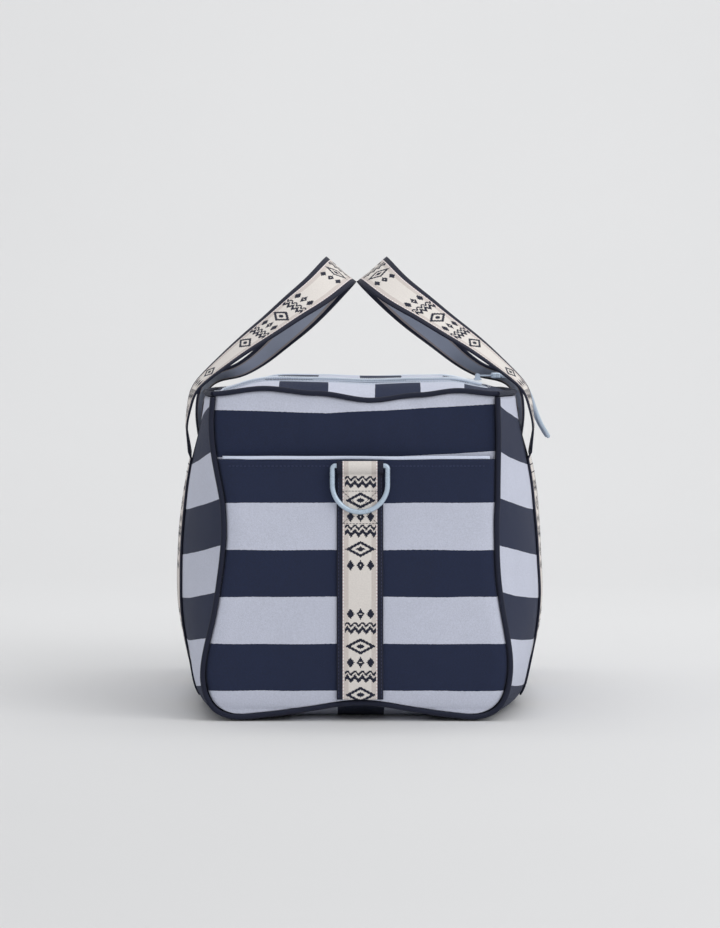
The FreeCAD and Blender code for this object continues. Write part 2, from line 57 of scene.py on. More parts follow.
# The front wall's profile: height, half width at the end seams, extra at mid-length, end lift.
PROFILE = np.array((
    (0.0, 107.0, 23.0, 3.2), (0.9, 114.5, 24.0, 2.8), (3.2, 121.5, 24.5, 2.2),
    (10.0, 131.0, 25.0, 0.6), (34.0, 142.0, 23.2, 0.0), (90.0, 136.3, 41.4, 0.0),
    (140.0, 128.8, 49.9, 0.0), (190.0, 127.0, 48.4, 0.0), (240.0, 131.4, 34.5, 0.0),
    (275.0, 133.2, 23.3, 0.0), (300.0, 132.0, 20.5, 0.0))) * MM
BASE_HALF, BASE_BULGE = PROFILE[0, 1:3]
TOP_HALF, TOP_BULGE = PROFILE[-1, 1:3]
TOP_SEAM = np.array(((-132.0, 300.0), (-85.0, 305.0), (-40.0, 300.5), (10.0, 294.0),
                     (55.0, 299.0), (95.0, 303.0), (132.0, 300.0))) * MM
STRIPE = 0.087                   # one navy and one pale stripe together
CLOTH = 0.002
RIM_HEIGHT, CROWN = 0.302, 0.013
ZIP_X, ZIP_Y, ZIP_CORNER = 0.114, 0.213, 0.048
ZIP_EDGE = 0.0083                # from the zip's centre line to the cloth beside it
HINGE_X = -0.128
POCKET_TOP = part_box("end_pocket_near")[1][2]
POCKET_Y = -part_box("end_pocket_near")[0][1]
WEB_HALF = 0.0215
WEB_THICK = 0.0018
STRAP_Y = 0.110
FOOT_Z = 0.243
FOOT_X = 0.1652
RISE_NEAR = ((166.8, 256.0), (167.6, 271.0), (164.0, 288.0), (157.8, 304.5), (144.0, 319.5),
             (126.5, 334.5), (107.5, 350.5), (86.0, 367.5), (63.5, 386.0), (40.5, 404.0),
             (20.0, 424.0))
RISE_FAR = ((166.4, 258.0), (166.6, 274.0), (164.0, 290.0), (159.2, 303.0), (151.5, 312.0),
            (138.5, 318.5), (124.0, 322.5), (110.0, 329.5), (96.5, 339.5), (79.5, 355.5),
            (58.0, 377.5), (38.0, 401.5), (20.0, 424.0))
CORD_DROP = ((153.0, 317.5), (163.0, 311.0), (170.0, 299.0), (174.5, 285.0),
             (180.0, 271.0), (188.0, 258.0))
CORD_DIAMETER = 0.0042
TOP_END = 0.2524                 # where the top's cloth stops, just inside the end seams
TOP_PIPING_Y, END_PIPING_Y = 0.2556, 0.2580
TOP_PIPING_RADIUS, END_PIPING_RADIUS = 0.00245, 0.0025
FRONT_TOP_SHIFT, BACK_TOP_SHIFT = 0.0075, -0.0005    # of the handles' tops, towards -X
ARCH_NARROWING, ARCH_BOW = 0.09, 0.0042  # the free arch: share of its width, and how far out
END_SWELL = 0.0042               # how much higher the top stands just behind each end seam
SIDE_SAG = 0.020                 # how far a wall's stripes sag at mid-length
STRAP_LOW, STRAP_HIGH = 0.012, 0.2385    # between these heights a handle is sewn down
CORD_SPREAD = 0.0044
# The near end's sides stand a little askew: height, and how far both sides shift towards -X.
LEAN = np.array(((0.0, 4.0), (40.0, 3.5), (65.0, 2.2), (90.0, 1.3), (130.0, 1.0), (170.0, -0.3),
                 (205.0, 0.0), (224.0, 1.8), (242.0, 3.4), (260.0, 4.4), (280.0, 5.0),
                 (300.0, 4.4))) * MM


# ---------------------------------------------------------------- curves and surfaces

def cubic(points, at):
    """Points on the natural cubic spline through the rows of points, at fractions of its chord."""
    points = np.asarray(points, float)
    n = len(points)
    t = np.concatenate([[0], np.cumsum(np.linalg.norm(np.diff(points, axis=0), axis=1))])
    h = np.diff(t)
    system, right = np.eye(n), np.zeros_like(points)
    for i in range(1, n - 1):
        system[i, i - 1:i + 2] = h[i - 1], 2 * (h[i - 1] + h[i]), h[i]
        right[i] = 6 * ((points[i + 1] - points[i]) / h[i] - (points[i] - points[i - 1]) / h[i - 1])
    bend = np.linalg.solve(system, right)
    where = np.asarray(at, float) * t[-1]
    i = np.clip(np.searchsorted(t, where) - 1, 0, n - 2)
    a, b, w = ((t[i + 1] - where)[:, None], (where - t[i])[:, None], h[i][:, None])
    return (bend[i] * a ** 3 + bend[i + 1] * b ** 3) / (6 * w) \
        + (points[i] / w - bend[i] * w / 6) * a + (points[i + 1] / w - bend[i + 1] * w / 6) * b


def bulge(y):
    return 1.0 - min(1.0, abs(y / HALF)) ** BULGE_POWER


def end_lift(y):
    reach = np.clip((abs(y) - HALF + LIFT_LENGTH) / LIFT_LENGTH, 0.0, 1.0)
    return reach * reach * (3.0 - 2.0 * reach)


def profile(y, count=220):
    """The front wall's outline at y from base edge to top edge, evenly spaced: x and z."""
    rows = np.stack([PROFILE[:, 1] + PROFILE[:, 2] * bulge(y),
                     PROFILE[:, 0] + PROFILE[:, 3] * end_lift(y)], axis=1)
    dense = cubic(rows, np.linspace(0, 1, 400))
    along = np.concatenate([[0], np.cumsum(np.linalg.norm(np.diff(dense, axis=0), axis=1))])
    even = np.linspace(0, along[-1], count)
    return np.stack([np.interp(even, along, dense[:, k]) for k in (0, 1)], axis=1)


def ripple(y, z, seed, size):
    """A smooth value between about -1 and 1 that varies over the given size."""
    return noise.noise(Vector((y / size, z / size, seed)))


def wall_grid(ys, parts, inset, side=1, seed=1.0):
    """Points of a side wall for each y and each share of its profile, with soft unevenness."""
    grid = np.zeros((len(ys), len(parts), 3))
    for i, y in enumerate(ys):
        row = profile(y)
        turn = np.gradient(row, axis=0)
        turn /= np.linalg.norm(turn, axis=1)[:, None]
        share = np.linspace(0, 1, len(row))
        for j, part in enumerate(parts):
            x, z = (np.interp(part, share, row[:, k]) for k in (0, 1))
            tx, tz = (np.interp(part, share, turn[:, k]) for k in (0, 1))
            fade = min(1.0, (HALF - abs(y)) / 0.05) * min(1.0, part * 5, (1 - part) * 7)
            soft = 1.6 * MM * ripple(y, z, seed, 0.11) + 0.5 * MM * ripple(y, z, seed + 9, 0.035)
            pucker = 0.35 * MM * math.sin(y * 2 * math.pi / 0.013 + 2 * ripple(y, z, seed, 0.05))
            pucker *= math.exp(-(1 - part) * 30)
            out = soft * fade + pucker * min(1.0, (HALF - abs(y)) / 0.01) - inset
            grid[i, j] = side * (x + tz * out), y, z - tx * out
    return grid


def share_at(y, z):
    """The share of the wall's profile at y where it reaches height z."""
    row = profile(y)
    return float(np.interp(z, row[:, 1], np.linspace(0, 1, len(row))))


def smooth(value, low, high):
    t = np.clip((value - low) / (high - low), 0.0, 1.0)
    return t * t * (3.0 - 2.0 * t)


def settle(points):
    """The points with the near end's sides moved askew."""
    points = np.array(points, float)
    x, y, z = points[..., 0], points[..., 1], points[..., 2]
    share = smooth(np.abs(x), 0.03, 0.11) * smooth(-y, 0.13, 0.25)
    points[..., 0] = x - np.interp(z, LEAN[:, 0], LEAN[:, 1]) * share
    return points


def seam_height(x):
    """The wavy top seam's height at x."""
    x = min(max(x, TOP_SEAM[0, 0]), TOP_SEAM[-1, 0])
    i = int(min(max(np.searchsorted(TOP_SEAM[:, 0], x) - 1, 0), len(TOP_SEAM) - 2))
    t = (x - TOP_SEAM[i, 0]) / (TOP_SEAM[i + 1, 0] - TOP_SEAM[i, 0])
    return TOP_SEAM[i, 1] + (TOP_SEAM[i + 1, 1] - TOP_SEAM[i, 1]) * t * t * (3 - 2 * t)


def top_half(y):
    return TOP_HALF + TOP_BULGE * bulge(y) - 0.0034


def top_height(x, y):
    end = min(1.0, abs(y / HALF)) ** 8
    crown = CROWN * (1.0 - min(1.0, abs(x / top_half(y))) ** 5)
    swell = END_SWELL * float(smooth(HALF - abs(y), 0.0, 0.03) * smooth(abs(y), 0.13, 0.20)
                           * (1.0 - smooth(abs(x), 0.085, 0.128)))
    return (RIM_HEIGHT + (seam_height(x) - RIM_HEIGHT + 0.001) * end + crown * (1.0 - end)
            + swell)


# ---------------------------------------------------------------- what a piece is

def place(piece, body, slot, *nodes):
    """The piece rides a body and stands for the given CAD nodes; slot is not used."""
    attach(piece, body)
    if nodes:
        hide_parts(*nodes)


def paint(node, material):
    """A CAD node shown as it is, in a material of its own."""
    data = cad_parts[node].data
    data.materials.clear()
    data.materials.append(material)
    return data


# ---------------------------------------------------------------- mesh builders

def finish_mesh(name, points, faces, uv=None, materials=(), slots=None, smooth=True):
    mesh = bpy.data.meshes.new(name)
    mesh.from_pydata(settle(points).tolist(), [], faces)
    if uv is not None:
        layer = mesh.uv_layers.new(name="cloth")
        loops = np.zeros(len(mesh.loops), np.int32)
        mesh.loops.foreach_get("vertex_index", loops)
        layer.data.foreach_set("uv", np.asarray(uv, float)[loops].ravel())
    for material in materials:
        mesh.materials.append(material)
    if slots is not None:
        mesh.polygons.foreach_set("material_index", slots)
    mesh.polygons.foreach_set("use_smooth", [smooth] * len(mesh.polygons))
    mesh.update()
    piece = bpy.data.objects.new(name, mesh)
    bpy.context.scene.collection.objects.link(piece)
    return piece


def grid_normals(grid):
    du, dv = np.gradient(grid, axis=0), np.gradient(grid, axis=1)
    normal = np.cross(du, dv)
    return normal / np.maximum(np.linalg.norm(normal, axis=2), 1e-12)[:, :, None]


def shell(name, outer, inner, uv, materials, inner_slot=0):
    """A closed thin sheet between two grids of points, with the uv of the outer one."""
    nu, nv = outer.shape[:2]
    count = nu * nv
    index = np.arange(count).reshape(nu, nv)
    a, b, c, d = index[:-1, :-1], index[1:, :-1], index[1:, 1:], index[:-1, 1:]
    front = np.stack([a, b, c, d], axis=-1).reshape(-1, 4)
    back = front[:, ::-1] + count
    border = np.concatenate([index[:-1, 0], index[-1, :-1], index[:0:-1, -1], index[0, :0:-1]])
    following = np.roll(border, -1)
    rim = np.stack([border + count, following + count, following, border], axis=1)
    # The border runs along u first, so its outward side depends on the grid's handedness.
    faces = np.concatenate([front, back, rim])
    slots = [0] * len(front) + [inner_slot] * len(back) + [0] * len(rim)
    points = np.concatenate([outer.reshape(-1, 3), inner.reshape(-1, 3)])
    both = np.concatenate([uv.reshape(-1, 2), uv.reshape(-1, 2)])
    return finish_mesh(name, points, faces.tolist(), both, materials, slots)


def cloth_sheet(name, grid, thickness, uv, materials, inner_slot=0):
    """A sheet whose outer face is the grid; its thickness goes the other way from its normals."""
    return shell(name, grid, grid - grid_normals(grid) * thickness, uv, materials, inner_slot)


def rope(name, points, radius, material, cyclic=False, order=3):
    """A round cord as one smooth spline."""
    curve = bpy.data.curves.new(name, "CURVE")
    curve.dimensions = "3D"
    spline = curve.splines.new("NURBS")
    spline.points.add(len(points) - 1)
    for target, p in zip(spline.points, settle(points)):
        target.co = (*p, 1.0)
    spline.order_u = order
    spline.use_endpoint_u = not cyclic
    spline.use_cyclic_u = cyclic
    curve.bevel_depth = radius
    curve.bevel_resolution = 4
    curve.resolution_u = 4
    curve.use_fill_caps = True
    curve.materials.append(material)
    piece = bpy.data.objects.new(name, curve)
    bpy.context.scene.collection.objects.link(piece)
    return piece


def scatter(name, template, faces, places, frames, material, smooth=True):
    """One mesh of many copies of a small template, each at a place with its own axes."""
    places, frames = np.asarray(places, float), np.asarray(frames, float)
    points = np.einsum("vi,nik->nvk", template, frames) + places[:, None, :]
    offsets = np.arange(len(places))[:, None, None] * len(template)
    all_faces = (np.asarray(faces)[None] + offsets).reshape(-1, len(faces[0]))
    return finish_mesh(name, points.reshape(-1, 3), all_faces.tolist(), None, [material],
                       smooth=smooth)


def bead(length, width, height, rings=4, sides=8):
    """A rounded capsule of quads, long in its first axis."""
    rows = []
    for i in range(rings + 1):
        angle = math.pi * (i / rings * 0.84 + 0.08)
        x = -math.cos(angle) * length / 2
        r = math.sin(angle) ** 0.6
        rows += [(x, r * width / 2 * math.cos(2 * math.pi * j / sides),
                  r * height / 2 * math.sin(2 * math.pi * j / sides)) for j in range(sides)]
    faces = []
    for i in range(rings):
        for j in range(sides):
            k = (j + 1) % sides
            faces.append((i * sides + j, i * sides + k, (i + 1) * sides + k, (i + 1) * sides + j))
    for first in (0, rings * sides):
        ring = [first + j for j in range(sides)]
        if first == 0:
            ring = ring[::-1]
        for j in range(0, sides - 2, 2):
            faces.append((ring[0], ring[j + 1], ring[j + 2], ring[j + 3]) if j + 3 < sides
                         else (ring[0], ring[j + 1], ring[j + 1], ring[0]))
    faces = [f for f in faces if len(set(f)) == 4]
    return np.array(rows), faces


def along_path(points, spacing, start=0.0):
    """Evenly spaced places along a row of points, and the heading at each."""
    points = np.asarray(points, float)
    along = np.concatenate([[0], np.cumsum(np.linalg.norm(np.diff(points, axis=0), axis=1))])
    at = np.arange(start + spacing / 2, along[-1], spacing)
    place = np.stack([np.interp(at, along, points[:, k]) for k in range(3)], axis=1)
    ahead = np.stack([np.interp(at + 1e-4, along, points[:, k]) for k in range(3)], axis=1)
    back = np.stack([np.interp(at - 1e-4, along, points[:, k]) for k in range(3)], axis=1)
    heading = ahead - back
    return place, heading / np.linalg.norm(heading, axis=1)[:, None], at


def stitch_row(name, points, normal, material, length=2.6 * MM, gap=1.0 * MM, width=0.55 * MM):
    """A row of sewn stitches along a path that lies on a surface with the given normal."""
    place, heading, _ = along_path(points, length + gap)
    normal = np.broadcast_to(np.asarray(normal, float), heading.shape)
    across = np.cross(normal, heading)
    across /= np.linalg.norm(across, axis=1)[:, None]
    up = np.cross(heading, across)
    template, faces = bead(length, width, width * 0.8)
    return scatter(name, template, faces, place, np.stack([heading, across, up], axis=1), material)


# ---------------------------------------------------------------- materials

class Value:
    """A number in a node tree that can be used in arithmetic."""

    def __init__(self, tree, socket):
        self.tree, self.socket = tree, socket

    def op(self, kind, other=0.0, third=None):
        node = self.tree.nodes.new("ShaderNodeMath")
        node.operation = kind
        for socket, value in zip(node.inputs, (self, other, third)):
            if isinstance(value, Value):
                self.tree.links.new(value.socket, socket)
            elif value is not None:
                socket.default_value = value
        return Value(self.tree, node.outputs[0])


def two_sided(kind):
    """A method that combines a value with another one."""
    return lambda self, other: self.op(kind, other)


def one_sided(kind):
    """A method that changes a value by itself."""
    return lambda self: self.op(kind)


for method, kind in (("__add__", "ADD"), ("__sub__", "SUBTRACT"), ("__mul__", "MULTIPLY"),
                     ("__truediv__", "DIVIDE"), ("below", "LESS_THAN"),
                     ("above", "GREATER_THAN"), ("steps", "SNAP"), ("larger", "MAXIMUM"),
                     ("smaller", "MINIMUM")):
    setattr(Value, method, two_sided(kind))
for method, kind in (("size", "ABSOLUTE"), ("sine", "SINE"), ("repeat", "FRACT"),
                     ("floor", "FLOOR")):
    setattr(Value, method, one_sided(kind))


def rgb(red, green, blue):
    """A colour given as screen values from 0 to 255."""
    return tuple(((c / 255 + 0.055) / 1.055) ** 2.4 if c > 10 else c / 3294 for c in
                 (red, green, blue)) + (1.0,)


NAVY = rgb(21, 33, 64)
NAVY_DARK = rgb(14, 19, 42)
PALE = rgb(204, 208, 224)
ECRU = rgb(230, 224, 218)
TAUPE = rgb(196, 184, 178)
PINK = rgb(222, 196, 198)
INNER = rgb(190, 197, 210)


class Surface:
    """One material: a principled shader with its colour, roughness and height built from nodes."""

    def __init__(self, name, roughness=0.8, sheen=0.0, **direct):
        self.material = bpy.data.materials.new(name)
        self.material.use_nodes = True
        self.tree = self.material.node_tree
        self.shader = self.tree.nodes["Principled BSDF"]
        self.shader.inputs["Roughness"].default_value = roughness
        self.shader.inputs["Sheen Weight"].default_value = sheen
        self.shader.inputs["Sheen Roughness"].default_value = 0.5
        for key, value in direct.items():
            self.shader.inputs[key.replace("_", " ")].default_value = value

    def new(self, kind, **inputs):
        node = self.tree.nodes.new(kind)
        for key, value in inputs.items():
            self.put(node.inputs[key.replace("_", " ")], value)
        return node

    def put(self, socket, value):
        if isinstance(value, Value):
            self.tree.links.new(value.socket, socket)
        elif isinstance(value, bpy.types.NodeSocket):
            self.tree.links.new(value, socket)
        else:
            socket.default_value = value

    def cloth_uv(self):
        """The two lengths laid out on the cloth, in metres."""
        node = self.new("ShaderNodeUVMap")
        node.uv_map = "cloth"
        split = self.new("ShaderNodeSeparateXYZ", Vector=node.outputs[0])
        return Value(self.tree, split.outputs[0]), Value(self.tree, split.outputs[1])

    def object_xyz(self):
        where = self.new("ShaderNodeTexCoord").outputs["Object"]
        split = self.new("ShaderNodeSeparateXYZ", Vector=where)
        return [Value(self.tree, out) for out in split.outputs]

    def noise(self, size, detail=2.0, stretch=None):
        place = self.new("ShaderNodeTexCoord").outputs["Object"]
        if stretch is not None:
            place = self.new("ShaderNodeMapping", Vector=place, Scale=stretch).outputs[0]
        node = self.new("ShaderNodeTexNoise", Vector=place, Scale=1 / size, Detail=detail)
        return Value(self.tree, node.outputs[0])

    def mix(self, amount, first, second):
        node = self.tree.nodes.new("ShaderNodeMix")
        node.data_type = "RGBA"
        self.put(node.inputs["Factor"], amount)
        self.put(node.inputs[6], first)
        self.put(node.inputs[7], second)
        return node.outputs[2]

    def tint(self, colour, amount):
        """The colour times a value near 1."""
        node = self.tree.nodes.new("ShaderNodeVectorMath")
        node.operation = "SCALE"
        self.put(node.inputs[0], colour[:3] if isinstance(colour, tuple) else colour)
        self.put(node.inputs["Scale"], amount)
        return node.outputs[0]

    def colour(self, value):
        self.put(self.shader.inputs["Base Color"], value)

    def rough(self, value):
        self.put(self.shader.inputs["Roughness"], value)

    def bump(self, height, distance, strength=1.0):
        node = self.new("ShaderNodeBump", Height=height, Distance=distance, Strength=strength)
        self.tree.links.new(node.outputs[0], self.shader.inputs["Normal"])


def weave(surface, u, v, pitch):
    """The height of a plain weave with the given thread pitch."""
    across = (u * (2 * math.pi / pitch)).sine()
    along = (v * (2 * math.pi / pitch)).sine()
    return across * along * 0.5 + 0.5


def canvas(name, phase, along_u=False):
    """Striped canvas: navy where the stripe coordinate is in the first half of each repeat."""
    s = Surface(name, roughness=0.86, sheen=0.03)
    u, v = s.cloth_uv()
    wander = (s.noise(0.0022, 1.0) - 0.5) * 0.0007 + (s.noise(0.05, 1.0) - 0.5) * 0.0016
    stripe = ((v + wander - phase) / STRIPE).repeat().below(0.5)
    grain = s.noise(0.0013, 3.0)
    cloud = s.noise(0.045, 2.0)
    slub = s.noise(0.0016, 2.0, stretch=(1.0, 1.0, 9.0))
    shade = grain * 0.34 + cloud * 0.10 + slub * 0.12 + 0.72
    navy_shade = grain * 0.75 + cloud * 0.16 + slub * 0.25 + 0.42
    colour = s.mix(stripe, s.tint(PALE, shade), s.tint(NAVY, navy_shade))
    s.colour(colour)
    s.rough(grain * 0.1 + 0.8)
    s.bump(weave(s, u, v, 0.00095) + grain * 0.8 + cloud * 7.0, 0.00022, 0.8)
    return s.material


def plain_cloth(name, base, pitch=0.0008, size=0.0014, spread=0.4, sheen=0.03, roughness=0.85):
    """Single-coloured woven cloth without its own coordinates, such as piping or lining."""
    s = Surface(name, roughness=roughness, sheen=sheen)
    grain = s.noise(size, 3.0)
    cloud = s.noise(0.03, 2.0)
    s.colour(s.tint(base, grain * spread + cloud * 0.16 + (1 - spread / 2 - 0.08)))
    s.rough(grain * 0.14 + roughness - 0.07)
    x, y, z = s.object_xyz()
    ribs = ((x + y + z) * (2 * math.pi / pitch)).sine()
    s.bump(ribs * 0.4 + grain, 0.0002, 0.6)
    return s.material


CELL = 0.0150                    # length of one woven motif along the webbing
GROUP = 8                        # motifs and blanks in one repeat
FILLED = 6                       # of which these carry a motif


def web_ribs(u, v):
    """The height of the ribs across a webbing."""
    return (v * (2 * math.pi / 0.0009)).sine() * (u * (2 * math.pi / 0.0018)).sine()


def webbing(name):
    """Woven webbing: navy edges, ecru middle, and a motif of lozenges, zigzags and dots."""
    s = Surface(name, roughness=0.78, sheen=0.03)
    u, v = s.cloth_uv()
    away = u.size()
    fine_u, fine_v = u.steps(0.0010), v.steps(0.0008)
    cell = fine_v / CELL
    along = cell.repeat() - 0.5
    number = cell.floor()
    filled = (number / GROUP).repeat().below((FILLED - 0.5) / GROUP)
    third = (number / 3).repeat()
    side = fine_u.size() / 0.0142
    lozenge = along.size() * 1.9 + side * 0.95
    diamond = (lozenge - 0.78).size().below(0.17).larger(lozenge.below(0.30))
    wave = ((fine_u / 0.0070 + 0.25).repeat() - 0.5).size() * 2.0
    zigzag = (along * 3.4 + wave - 0.5)
    zigzag = zigzag.size().below(0.46).larger((zigzag - 1.25).size().below(0.30))
    small = ((fine_u / 0.0093 + 0.5).repeat() - 0.5).size() * 2.2 + along.size() * 2.6
    beads = small.below(0.86) * (along.size() * 2.6 + side).above(0.1)
    first, second = third.below(0.2), third.above(0.5)
    middle = (first + second) * -1 + 1
    motif = (first * diamond + middle * zigzag + second * beads).smaller(1.0)
    motif = motif * side.below(1.0) * filled
    grain = s.noise(0.0011, 3.0)
    ecru = s.tint(ECRU, grain * 0.24 + 0.88)
    taupe_band = (away - 0.0128).size().below(0.0022)
    ecru = s.mix(taupe_band * 0.55, ecru, s.tint(TAUPE, grain * 0.3 + 0.85))
    middle = s.mix(motif, ecru, s.tint(NAVY_DARK, grain * 0.8 + 0.7))
    dash = (v / 0.0031).repeat().below(0.62)
    picot = (away - 0.0156).size().below(0.00062)
    middle = s.mix(picot, middle, s.mix(dash, PINK, rgb(244, 240, 238)))
    edge = away.above(0.0160)
    s.colour(s.mix(edge, middle, s.tint(NAVY_DARK, grain * 0.7 + 0.75)))
    s.rough(grain * 0.12 + 0.72)
    ribs = web_ribs(u, v)
    height = ribs * 0.35 + grain * 0.5 + motif * 0.9 + picot * 0.8 - (away - 0.0166).size().below(
        0.0004) * 0.8
    s.bump(height, 0.00022, 0.8)
    return s.material


def webbing_inside(name):
    """The back of the webbing: pale middle, taupe borders, navy edges."""
    s = Surface(name, roughness=0.8, sheen=0.03)
    u, v = s.cloth_uv()
    away = u.size()
    grain = s.noise(0.0011, 3.0)
    middle = s.tint(INNER, grain * 0.24 + 0.86)
    border = away.above(0.0128)
    colour = s.mix(border, middle, s.tint(TAUPE, grain * 0.3 + 0.72))
    colour = s.mix(away.above(0.0160), colour, s.tint(NAVY_DARK, grain * 0.7 + 0.75))
    s.colour(colour)
    ribs = web_ribs(u, v)
    s.bump(ribs * 0.5 + grain * 0.5, 0.0002, 0.7)
    return s.material


def painted_metal(name, base):
    s = Surface(name, roughness=0.28, Metallic=0.25, Coat_Weight=0.35, Coat_Roughness=0.12)
    worn = s.noise(0.006, 4.0)
    s.colour(s.tint(base, worn * 0.16 + 0.92))
    s.rough(worn * 0.16 + 0.2)
    s.bump(s.noise(0.0016, 3.0), 0.00005, 0.35)
    return s.material


def moulded(name, base, roughness=0.42):
    s = Surface(name, roughness=roughness)
    speck = s.noise(0.002, 3.0)
    s.colour(s.tint(base, speck * 0.18 + 0.91))
    s.rough(speck * 0.18 + roughness - 0.08)
    s.bump(speck, 0.00004, 0.4)
    return s.material


def braid(name, base):
    """Braided round cord."""
    s = Surface(name, roughness=0.7, sheen=0.2)
    x, y, z = s.object_xyz()
    one = ((x + y * 0.8 + z) * (2 * math.pi / 0.0017)).sine()
    two = ((x - y * 0.8 - z) * (2 * math.pi / 0.0017)).sine()
    plait = one * two
    grain = s.noise(0.0007, 3.0)
    # The plait term in the colour is painted shade in the braid's grooves and painted highlight on its
    # ridges; the grain term is the cord's own uneven tone.
    s.colour(s.tint(base, plait * 0.10 + grain * 0.2 + 0.84))
    s.bump(plait * 0.6 + grain * 0.4, 0.00028, 0.9)
    return s.material


def make_materials():
    m = {
        "wall": canvas("canvas_wall", 0.2505),
        "pocket": canvas("canvas_pocket", 0.1155),
        "upper": canvas("canvas_upper", 0.2480),
        "rim": canvas("canvas_rim", 0.0140),
        "lid": canvas("canvas_lid", 0.0),
        "base": canvas("canvas_base", -0.0210),
        "lining": plain_cloth("lining_twill", rgb(60, 68, 100), pitch=0.0007, spread=0.3),
        "piping": plain_cloth("piping_cloth", rgb(17, 23, 46), pitch=0.0011, spread=0.6, sheen=0.02),
        "binding": plain_cloth("binding_tape", rgb(214, 222, 240), pitch=0.0012, spread=0.2),
        "web": webbing("webbing_face"),
        "web_back": webbing_inside("webbing_back"),
        "ring": painted_metal("ring_paint", rgb(186, 203, 220)),
        "zip_paint": painted_metal("zip_paint", rgb(200, 214, 230)),
        "tape": plain_cloth("zip_tape_weave", rgb(196, 205, 220), pitch=0.0010, spread=0.16),
        "teeth": moulded("zip_teeth_plastic", rgb(222, 230, 240)),
        "cord": braid("pull_cord_braid", rgb(196, 211, 228)),
        "board": moulded("base_board_fibre", rgb(52, 56, 70), roughness=0.75),
        "thread_navy": plain_cloth("thread_navy", rgb(20, 24, 44), spread=0.3),
        "thread_mid": plain_cloth("thread_mid", rgb(66, 74, 108), spread=0.3),
        "thread_pale": plain_cloth("thread_pale", rgb(222, 226, 236), spread=0.2),
    }
    return m


# ---------------------------------------------------------------- the body's cloth

def mirrored(grid, axis):
    """The grid mirrored in one axis, with its rows turned round so that its normals still face out."""
    out = grid.copy()
    out[..., axis] *= -1
    return out[::-1]


def stripe_uv(grid, across, along):
    return np.stack([along(grid), across(grid)], axis=-1)


def outward(grid, towards):
    """The grid with its rows in the order that makes its normals point towards the given side."""
    normal = grid_normals(grid)[grid.shape[0] // 2, grid.shape[1] // 2]
    return grid if normal @ np.asarray(towards, float) > 0 else grid[::-1]


def add_walls(m):
    ys = np.linspace(-HALF + 0.0004, HALF - 0.0004, 121)
    parts = np.linspace(0, 1, 84)

    def stripe(grid):
        height = grid[..., 2]
        sag = np.vectorize(bulge)(grid[..., 1]) * SIDE_SAG * np.clip(height / 0.12, 0.65, 1.0)
        return height + sag

    for side, name in ((1, "front"), (-1, "back")):
        grid = outward(wall_grid(ys, parts, 0.0, side, seed=side + 2.0), (side, 0, 0))
        piece = cloth_sheet(name + "_cloth", grid, CLOTH,
                            stripe_uv(grid, stripe, lambda g: g[..., 1]), [m["wall"], m["lining"]],
                            1)
        place(piece, "bag_body", "striped_canvas", name + "_panel")
        inner = outward(wall_grid(np.linspace(-0.2514, 0.2514, 61), np.linspace(0.05, 0.985, 40),
                                  0.0026, side, seed=side + 2.0), (side, 0, 0))
        lining = cloth_sheet("lining_" + name + "_cloth", inner, 0.0007,
                             stripe_uv(inner, lambda g: g[..., 2], lambda g: g[..., 1]),
                             [m["lining"]])
        place(lining, "bag_body", "lining_cloth", "lining_" + name)


def base_lift(x, y):
    shape = max(0.0, 1.0 - abs(x) / BASE_HALF)
    return (0.0032 + 0.0138 * shape ** 1.2) * end_lift(y)


def base_grid(height, narrower, half_length):
    ys = np.linspace(-half_length, half_length, 91)
    grid = np.zeros((len(ys), 45, 3))
    for i, y in enumerate(ys):
        edge = BASE_HALF + BASE_BULGE * bulge(y) - 0.0004 - narrower
        for j, f in enumerate(np.linspace(-1, 1, 45)):
            grid[i, j] = edge * f, y, height + base_lift(edge * f, y)
    return grid


def add_base(m):
    grid = outward(base_grid(0.0, 0.0, HALF - 0.0004), (0, 0, -1))
    uv = stripe_uv(grid, lambda g: g[..., 0], lambda g: g[..., 1])
    piece = cloth_sheet("base_cloth", grid, CLOTH, uv, [m["base"], m["lining"]], 1)
    place(piece, "bag_body", "striped_canvas", "base_panel")
    inner = outward(base_grid(0.0024, 0.004, 0.2514), (0, 0, -1))
    lining = cloth_sheet("lining_base_cloth", inner, 0.0008,
                         stripe_uv(inner, lambda g: g[..., 0], lambda g: g[..., 1]), [m["lining"]])
    place(lining, "bag_body", "lining_cloth", "lining_base")


END_HALF = profile(HALF)
BOTTOM_SEAM = cubic(np.array(((-107.0, 3.2), (-65.0, 8.0), (-40.0, 12.0), (0.0, 17.0),
                              (40.0, 12.0), (65.0, 8.0), (107.0, 3.2))) * MM,
                    np.linspace(0, 1, 121))


def end_grid(inset, top, drop, depth, columns=97, rows=90):
    """The end panel's face at the near end: depth(x, z) is how far it stands out past the seam."""
    grid = np.zeros((columns, rows, 3))
    shares = np.linspace(0, 1, rows) ** 1.25
    side_top = 0.300 if top is None else top
    for j, share in enumerate(shares):
        z_side = 0.0032 + share * (side_top - 0.0032)
        half = np.interp(z_side, END_HALF[:, 1], END_HALF[:, 0]) - inset
        for i, f in enumerate(np.linspace(-1, 1, columns)):
            x = f * half
            low = np.interp(x, BOTTOM_SEAM[:, 0], BOTTOM_SEAM[:, 1]) + inset
            high = (seam_height(x) - drop) if top is None else top
            z = low + (high - low) * share
            grid[i, j] = x, -HALF - depth(x, z, half), z
    return grid


def window(x, half, edge):
    """0 at the two side edges and 1 in the middle."""
    return min(1.0, max(0.0, (half - abs(x)) / edge)) ** 0.5


